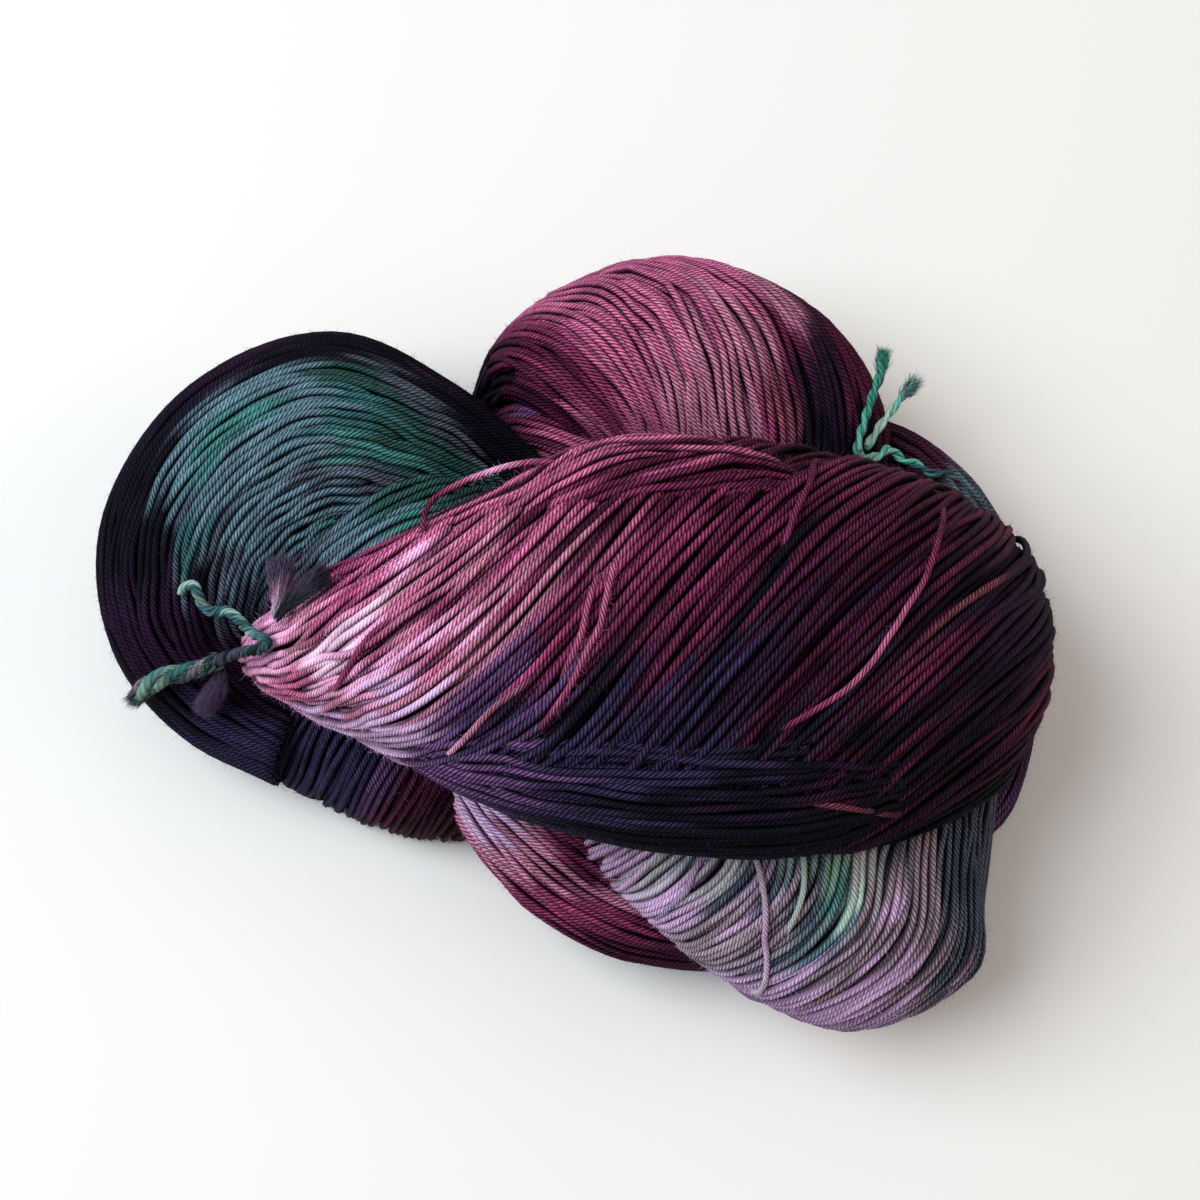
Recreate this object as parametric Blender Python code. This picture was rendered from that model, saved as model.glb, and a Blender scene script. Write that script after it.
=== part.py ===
"""Hank of hand-dyed yarn, twisted on itself and lying on a flat surface, with its two ties.

The wound form is one solid. Each turn of it is a fat bundle of yarn, lofted through a short table of
sections, and its ribs follow the main twist of the strands. The bundles are joined and cut flat where
they rest. Each tie is one piece of cord: the run that shows, its knot and its free ends. The loose
yarn ends are pieces of their own.

Metres, +Z up. The origin is at the middle of the hank's base. +X is the long way, +Y the way across.
"""

import math
from collections import namedtuple

import bmesh
import bpy
from mathutils import Vector

MM = 0.001

# A section of a bundle, in millimetres and degrees: its middle, the way that the yarn runs there, its
# half width and half height, and how far the strands have turned round the bundle up to there.
Section = namedtuple("Section", "x y z heading pitch wide tall turn")
# The sections' x and y are measured from a point this far from the middle of the base, in millimetres.
TABLE_X, TABLE_Y = 4.9, 3.83

LEFT_TURN = (
    Section(-3.5, 15.0, 14.0, 138, 20, 8.0, 8.5, 0),
    Section(-17.0, 19.0, 18.0, 146, 12, 11.0, 13.0, 0),
    Section(-29.0, 23.5, 21.5, 160, 5, 15.0, 19.0, 0),
    Section(-43.0, 26.0, 22.0, 182, 0, 20.0, 22.5, 0),
    Section(-55.5, 20.5, 21.0, 214, 0, 20.6, 21.5, 0),
    Section(-64.0, 10.0, 19.0, 250, -3, 18.3, 19.5, 0),
    Section(-66.0, -2.0, 16.0, 281, -6, 14.7, 16.5, 0),
    Section(-61.0, -12.0, 12.5, 314, -6, 11.0, 13.0, 0),
    Section(-50.0, -19.0, 11.0, 335, 0, 9.0, 11.5, 0),
)
TOP_TURN = (
    Section(-20.5, 37.5, 12.0, 40, 12, 2.0, 4.0, 0),
    Section(-13.5, 40.5, 17.0, 18, 9, 8.0, 13.0, 0),
    Section(-4.0, 41.5, 20.0, 6, 5, 13.3, 18.5, 0),
    Section(6.0, 42.5, 22.0, -10, 2, 16.3, 21.5, 0),
    Section(16.5, 40.0, 22.5, -30, 0, 18.0, 23.0, 0),
    Section(25.0, 34.5, 21.5, -53, -3, 18.8, 22.0, 0),
    Section(30.0, 26.5, 20.0, -74, -7, 18.4, 20.0, 0),
    Section(31.0, 17.5, 17.5, -95, -10, 16.5, 17.0, 0),
)
CROWN = (
    Section(-56.5, -7.0, 21.0, -5, 30, 3.0, 4.0, 0),
    Section(-48.5, -8.5, 28.0, 0, 24, 8.0, 10.0, -15),
    Section(-37.5, -10.0, 36.0, 3, 16, 13.0, 15.0, -35),
    Section(-24.0, -11.0, 44.0, 3, 9, 19.5, 19.0, -62),
    Section(-6.0, -10.5, 48.5, 2, 3, 26.5, 21.5, -98),
    Section(13.0, -10.5, 50.0, 0, 0, 30.5, 22.5, -140),
    Section(32.5, -11.5, 47.5, -4, -8, 30.0, 22.0, -176),
    Section(46.5, -11.5, 40.0, -9, -32, 27.5, 20.0, -200),
    Section(55.5, -10.5, 27.0, -13, -65, 24.0, 16.0, -218),
    Section(58.5, -8.5, 14.0, -15, -90, 20.0, 13.0, -230),
)
RIGHT_FOOT = (
    Section(41.5, -25.0, 22.0, -100, 0, 22.0, 15.0, 0),
    Section(35.0, -37.0, 21.5, -108, 0, 26.5, 20.0, 0),
    Section(31.6, -44.8, 23.2, -116, -13, 29.5, 16.5, 0),
    Section(19.0, -47.4, 19.2, -126, -42, 30.3, 12.0, 0),
    Section(11.9, -43.4, 10.9, -132, -66, 28.5, 7.0, 0),
    Section(11.3, -41.8, 4.0, -135, -80, 27.5, 3.5, 0),
    Section(11.5, -40.8, -3.0, -136, -86, 27.0, 3.0, 0),
)
LOWER_TURN = (
    Section(-20.0, -19.0, 12.0, -62, 0, 9.0, 11.0, 0),
    Section(-12.5, -29.5, 12.5, -55, 0, 11.7, 13.0, 0),
    Section(-2.5, -38.5, 12.5, -40, 0, 12.6, 13.0, 0),
    Section(9.0, -44.5, 12.0, -22, 0, 12.2, 12.5, 0),
    Section(22.0, -47.5, 11.0, -10, 0, 10.0, 11.0, 0),
)
ROLLED_EDGE = (
    Section(-28.5, -6.5, 12.0, 240, 10, 20.0, 9.0, 0),
    Section(-37.5, -16.5, 14.0, 242, -15, 25.0, 10.0, 0),
    Section(-42.0, -21.5, 9.0, 243, -60, 26.0, 9.0, 0),
    Section(-44.0, -22.0, 3.0, 243, -82, 26.0, 8.5, 0),
    Section(-43.5, -21.5, -3.0, 243, -88, 25.0, 8.5, 0),
)
BACK_RUN = (
    Section(42.5, 29.0, 13.0, -20, 0, 7.0, 10.0, 0),
    Section(50.5, 21.5, 14.0, -45, 0, 9.5, 14.5, 0),
    Section(57.5, 10.0, 14.0, -68, 0, 11.0, 14.5, 0),
    Section(61.0, -10.0, 13.0, -92, 0, 11.0, 13.5, 0),
    Section(57.0, -27.5, 12.0, -112, 0, 11.0, 12.5, 0),
    Section(47.0, -34.5, 10.0, -140, 0, 9.0, 11.0, 0),
)
INNER_RUN = (
    Section(-45.0, -13.0, 11.0, 10, 0, 12.0, 11.5, 0),
    Section(-21.5, -6.5, 12.0, 6, 0, 21.0, 12.8, 0),
    Section(6.5, 0.0, 13.0, 0, 0, 26.0, 13.8, 0),
    Section(33.5, 2.0, 13.0, -8, 0, 23.0, 13.8, 0),
    Section(53.5, -3.0, 12.0, -14, 0, 14.0, 12.5, 0),
)

CREST = (
    Section(-49.5, -5.0, 33.5, 35, 25, 3.0, 3.0, 0),
    Section(-40.0, -2.0, 41.0, 32, 15, 4.5, 4.5, 0),
    Section(-26.0, 3.0, 52.0, 28, 9, 5.5, 5.0, 0),
    Section(-12.0, 7.0, 58.0, 22, 4, 6.5, 5.5, 0),
    Section(0.0, 9.0, 62.5, 12, 0, 7.0, 5.5, 0),
    Section(11.5, 9.5, 63.0, -2, -3, 7.0, 5.5, 0),
    Section(22.0, 8.5, 62.0, -10, -8, 6.0, 5.0, 0),
    Section(31.0, 7.0, 58.0, -14, -25, 4.0, 4.0, 0),
)
LEFT_INNER = (
    Section(-54.5, -5.0, 13.0, 52, 15, 4.0, 6.0, 0),
    Section(-48.0, 1.0, 18.0, 42, 10, 9.0, 13.0, 0),
    Section(-38.0, 8.0, 21.5, 33, 5, 12.0, 17.0, 0),
    Section(-27.0, 14.0, 22.5, 28, 0, 12.0, 17.0, 0),
    Section(-15.0, 17.5, 18.5, 28, -5, 9.0, 12.5, 0),
    Section(-5.0, 21.0, 13.5, 30, -8, 6.0, 8.0, 0),
)

# Each bundle: its sections, the rings between two sections, and its ribs.
Bundle = namedtuple("Bundle", "sections rings ribs")
BUNDLES = (
    Bundle(CROWN, 3, 16),
    Bundle(LEFT_TURN, 2, 13),
    Bundle(TOP_TURN, 2, 13),
    Bundle(RIGHT_FOOT, 2, 15),
    Bundle(LOWER_TURN, 2, 10),
    Bundle(ROLLED_EDGE, 2, 14),
    Bundle(BACK_RUN, 2, 9),
    Bundle(CREST, 2, 5),
    Bundle(LEFT_INNER, 2, 9),
    Bundle(INNER_RUN, 2, 8),
)
RIB_POINTS = 4
RIB_HEIGHT = 0.45

# The ties and the loose yarn ends, in millimetres, measured from the same point as the sections: the
# points that each runs through, from the end that comes out of the hank or from the frayed tip.
TIE_LEFT = (
    (-64.8, -0.4, 36.2),
    (-64.0, 0.6, 37.2),
    (-62.6, 0.6, 37.5),
    (-61.9, -0.9, 37.0),
    (-61.1, -2.5, 36.6),
    (-59.5, -3.3, 36.6),
    (-57.4, -3.3, 37.2),
    (-55.5, -4.7, 38.2),
    (-53.4, -6.8, 39.8),
    (-51.8, -8.0, 41.5),
    (-50.3, -8.9, 43.1),
    (-49.9, -9.9, 43.7),
    (-51.5, -10.3, 42.2),
    (-53.8, -10.0, 39.6),
    (-57.5, -10.3, 36.2),
    (-61.8, -11.3, 33.0),
    (-65.3, -11.9, 30.9),
    (-68.9, -12.3, 29.0),
    (-71.4, -13.3, 27.4),
    (-74.1, -15.3, 25.6),
)
TIE_RIGHT = (
    (57.3, 20.3, 29.0),
    (55.2, 20.8, 30.2),
    (52.9, 20.5, 31.2),
    (50.7, 21.9, 31.4),
    (48.5, 22.3, 32.0),
    (47.1, 23.3, 32.8),
    (45.7, 23.7, 33.8),
    (43.9, 22.2, 35.0),
    (42.0, 21.5, 36.4),
    (40.5, 21.9, 37.8),
    (40.3, 23.2, 38.8),
    (41.6, 27.3, 37.7),
    (43.2, 31.9, 36.6),
    (44.5, 35.3, 36.3),
    (45.0, 38.2, 36.2),
)
TIE_RIGHT_END = (
    (41.9, 23.1, 36.8),
    (43.9, 26.4, 35.2),
    (46.5, 30.1, 34.4),
    (48.5, 32.6, 34.0),
    (50.1, 34.5, 33.8),
)
YARN_END_HANGING = (
    (-58.8, -11.5, 32.4),
    (-59.6, -13.0, 30.4),
    (-61.0, -15.0, 28.6),
    (-62.6, -17.1, 27.0),
)
YARN_END_UPRIGHT = (
    (-48.7, -6.0, 45.4),
    (-48.4, -2.8, 43.4),
    (-48.6, 0.8, 40.8),
    (-49.3, 4.2, 39.2),
)
Cord = namedtuple("Cord", "name points diameter material colour roughness")
CORDS = (
    Cord("tie_left", TIE_LEFT, 1.8, "teal_cord", (0.20, 0.36, 0.33), 0.8),
    Cord("tie_right", TIE_RIGHT, 1.2, "green_cord", (0.08, 0.33, 0.26), 0.8),
    Cord("tie_right_end", TIE_RIGHT_END, 1.2, "pale_green_cord", (0.22, 0.42, 0.38), 0.8),
    Cord("yarn_end_hanging", YARN_END_HANGING, 2.2, "violet_tuft", (0.16, 0.12, 0.24), 0.95),
    Cord("yarn_end_upright", YARN_END_UPRIGHT, 2.6, "grey_violet_tuft", (0.20, 0.16, 0.28), 0.95),
)
CORD_STEP = 1.8


def spline(rows, rings):
    """The rows with rings - 1 more between each two, on a smooth curve through them."""
    first = [2 * a - b for a, b in zip(rows[0], rows[1])]
    last = [2 * a - b for a, b in zip(rows[-1], rows[-2])]
    ext = [first, *rows, last]
    out = []
    for i in range(len(rows) - 1):
        for k in range(rings):
            u = k / rings
            out.append(
                Section(
                    *(
                        0.5
                        * (2 * b + (c - a) * u + (2 * a - 5 * b + 4 * c - d) * u**2 + (3 * b - a - 3 * c + d) * u**3)
                        for a, b, c, d in zip(*ext[i : i + 4])
                    )
                )
            )
    out.append(rows[-1])
    return out


def ring_points(s, ribs):
    """The points round one section, ribbed along the strands."""
    heading, pitch = math.radians(s.heading), math.radians(s.pitch)
    side = Vector((-math.sin(heading), math.cos(heading), 0))
    up = Vector((-math.sin(pitch) * math.cos(heading), -math.sin(pitch) * math.sin(heading), math.cos(pitch)))
    middle = Vector((s.x + TABLE_X, s.y + TABLE_Y, s.z))
    count = ribs * RIB_POINTS
    points = []
    for k in range(count):
        angle = math.tau * k / count + math.radians(s.turn)
        rib = RIB_HEIGHT * (1 - 2 * abs(math.sin(math.pi * k / RIB_POINTS)))
        across = side * (max(s.wide, 1) + rib) * math.cos(angle)
        points.append((middle + across + up * (max(s.tall, 1) + rib) * math.sin(angle)) * MM)
    return points


def new_object(name, bm, material=None):
    mesh = bpy.data.meshes.new(name)
    bm.to_mesh(mesh)
    bm.free()
    mesh.shade_smooth()
    obj = bpy.data.objects.new(name, mesh)
    bpy.context.scene.collection.objects.link(obj)
    if material:
        mesh.materials.append(material)
    return obj


def bundle_object(name, bundle):
    """A fat run of yarn, lofted through its sections."""
    bm = bmesh.new()
    rings = [
        [bm.verts.new(p) for p in ring_points(s, bundle.ribs)] for s in spline(bundle.sections, bundle.rings)
    ]
    for a, b in zip(rings, rings[1:]):
        for k in range(len(a)):
            n = (k + 1) % len(a)
            bm.faces.new((a[k], a[n], b[n], b[k]))
    bm.faces.new(rings[0])
    bm.faces.new(rings[-1])
    bmesh.ops.recalc_face_normals(bm, faces=bm.faces)
    return new_object(name, bm)


def apply_modifiers(obj):
    """The object's mesh becomes what its modifiers make of it."""
    graph = bpy.context.evaluated_depsgraph_get()
    mesh = bpy.data.meshes.new_from_object(obj.evaluated_get(graph))
    old = obj.data
    obj.modifiers.clear()
    obj.data = mesh
    bpy.data.meshes.remove(old)


def boolean(obj, other, operation):
    cut = obj.modifiers.new(other.name, "BOOLEAN")
    cut.operation = operation
    cut.solver = "MANIFOLD"
    cut.object = other


def keep_outer_skin(obj):
    """Drops every closed shell but the largest: what is left of pockets shut in between the bundles."""
    bm = bmesh.new()
    bm.from_mesh(obj.data)
    left = set(bm.verts)
    shells = []
    while left:
        shell, todo = set(), [left.pop()]
        while todo:
            vert = todo.pop()
            shell.add(vert)
            for edge in vert.link_edges:
                other = edge.other_vert(vert)
                if other in left:
                    left.remove(other)
                    todo.append(other)
        shells.append(shell)
    shells.sort(key=len)
    bmesh.ops.delete(bm, geom=[v for shell in shells[:-1] for v in shell], context="VERTS")
    bm.to_mesh(obj.data)
    bm.free()


def floor_block():
    """What lies below the surface that the hank rests on."""
    bm = bmesh.new()
    bmesh.ops.create_cube(bm, size=1)
    bmesh.ops.scale(bm, vec=(400 * MM, 400 * MM, 50 * MM), verts=bm.verts)
    bmesh.ops.translate(bm, vec=(0, 0, -25 * MM), verts=bm.verts)
    return new_object("floor_block", bm)


def yarn_material(name, colour, roughness):
    mat = bpy.data.materials.new(name)
    mat.use_nodes = True
    shader = mat.node_tree.nodes["Principled BSDF"]
    shader.inputs["Base Color"].default_value = (*colour, 1)
    shader.inputs["Roughness"].default_value = roughness
    shader.inputs["Metallic"].default_value = 0
    return mat


def make_hank():
    """The wound form: all bundles as one solid, flat where it rests."""
    parts = [bundle_object(f"bundle_{i}", b) for i, b in enumerate(BUNDLES)]
    hank, others = parts[0], parts[1:]
    hank.name = "hank"
    for other in others:
        boolean(hank, other, "UNION")
    floor = floor_block()
    boolean(hank, floor, "DIFFERENCE")
    apply_modifiers(hank)
    for other in [*others, floor]:
        bpy.data.objects.remove(other)
    keep_outer_skin(hank)
    hank.data.materials.clear()
    hank.data.materials.append(yarn_material("plum_yarn", (0.16, 0.03, 0.12), 0.85))
    return hank


def smooth_route(points, step):
    """Points a step apart on a smooth curve through the route's own points."""
    rows = [Section(*p, 0, 0, 0, 0, 0) for p in points]
    fine = [Vector(s[:3]) for s in spline(rows, 12)]
    run = [0.0]
    for a, b in zip(fine, fine[1:]):
        run.append(run[-1] + (b - a).length)
    count = max(2, round(run[-1] / step))
    out, i = [], 0
    for k in range(count + 1):
        at = run[-1] * k / count
        while i < len(run) - 2 and run[i + 1] < at:
            i += 1
        out.append(fine[i].lerp(fine[i + 1], (at - run[i]) / (run[i + 1] - run[i])))
    return out


def make_cord(cord):
    """One piece of yarn or cord as a plain tube along its route."""
    curve = bpy.data.curves.new(cord.name, "CURVE")
    curve.dimensions = "3D"
    curve.bevel_depth = cord.diameter / 2 * MM
    curve.bevel_resolution = 2
    curve.use_fill_caps = True
    route = smooth_route(cord.points, CORD_STEP)
    line = curve.splines.new("POLY")
    line.points.add(len(route) - 1)
    for point, place in zip(line.points, route):
        point.co = (*((place + Vector((TABLE_X, TABLE_Y, 0))) * MM), 1)
    line.use_smooth = True
    curve.materials.append(yarn_material(cord.material, cord.colour, cord.roughness))
    obj = bpy.data.objects.new(cord.name, curve)
    bpy.context.scene.collection.objects.link(obj)


def main():
    for obj in list(bpy.data.objects):
        bpy.data.objects.remove(obj)
    make_hank()
    for cord in CORDS:
        make_cord(cord)


main()
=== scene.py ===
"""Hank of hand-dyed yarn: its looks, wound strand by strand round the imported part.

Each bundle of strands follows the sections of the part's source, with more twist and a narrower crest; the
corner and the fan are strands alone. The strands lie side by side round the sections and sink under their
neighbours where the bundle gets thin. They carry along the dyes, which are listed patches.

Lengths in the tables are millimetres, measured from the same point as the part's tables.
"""

import math
from collections import namedtuple

import bpy
import numpy as np
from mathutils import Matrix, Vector
from mathutils.bvhtree import BVHTree


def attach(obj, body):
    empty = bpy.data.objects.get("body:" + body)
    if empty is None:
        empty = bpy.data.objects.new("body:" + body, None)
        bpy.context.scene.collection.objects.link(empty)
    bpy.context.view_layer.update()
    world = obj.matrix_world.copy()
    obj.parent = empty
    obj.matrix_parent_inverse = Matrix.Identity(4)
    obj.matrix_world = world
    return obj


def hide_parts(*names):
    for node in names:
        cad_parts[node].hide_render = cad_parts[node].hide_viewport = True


bl_info = {
    "name": "Hank of yarn",
    "version": (1, 0, 0),
    "blender": (4, 5, 0),
    "location": "3D View > Sidebar > Hank",
    "description": "Winds a twisted hank of hand-dyed yarn strand by strand, with its ties and fuzz",
    "category": "Add Mesh",
}

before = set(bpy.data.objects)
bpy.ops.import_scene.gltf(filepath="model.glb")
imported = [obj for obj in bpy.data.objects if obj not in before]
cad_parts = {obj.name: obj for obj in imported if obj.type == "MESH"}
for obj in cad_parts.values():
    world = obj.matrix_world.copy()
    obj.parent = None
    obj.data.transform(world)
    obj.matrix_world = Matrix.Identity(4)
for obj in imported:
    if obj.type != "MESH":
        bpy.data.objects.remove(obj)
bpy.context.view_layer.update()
MM = 0.001
TABLE_AT = np.array((4.9, 3.83, 0.0))
SEED = 1207

# Sizes in millimetres, and shares.
DEEPEST = 1.7  # how far below the inset a ring may lie in the hank
HIGHEST = 0.55  # how far a strand may stand above the inset
LOWEST = -1.3  # how low a ring may be before it is left out
FOLDS = ((6.0, 0.34), (11.0, 0.5))  # room of a fold round a bundle, and how far it draws the strands
GOLDEN = 0.618034  # spreads the order in which strands sink
TUFT_FIBRE = 0.045  # half the width of a tuft's fibre
FRAY_FIBRE = 0.05  # half the width of a fray's fibre

Bundle = namedtuple("Bundle", "lively sections places dyes clear")


def table(text):
    """The rows of a table's text, as numbers."""
    return np.array([[float(n) for n in row.split()] for row in text.split(";")])


def bundle(lively, sections, patches, clear=9.0):
    """A bundle from its texts."""
    places = []
    dyes = []
    for entry in patches.split(";"):
        dye, spots = entry.split(None, 1)
        for spot in spots.split(","):
            places.append([float(n) for n in spot.split()])
            dyes.append(dye)
    return Bundle(lively, table(sections), np.array(places) / (100, 1000), dyes, clear)


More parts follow.
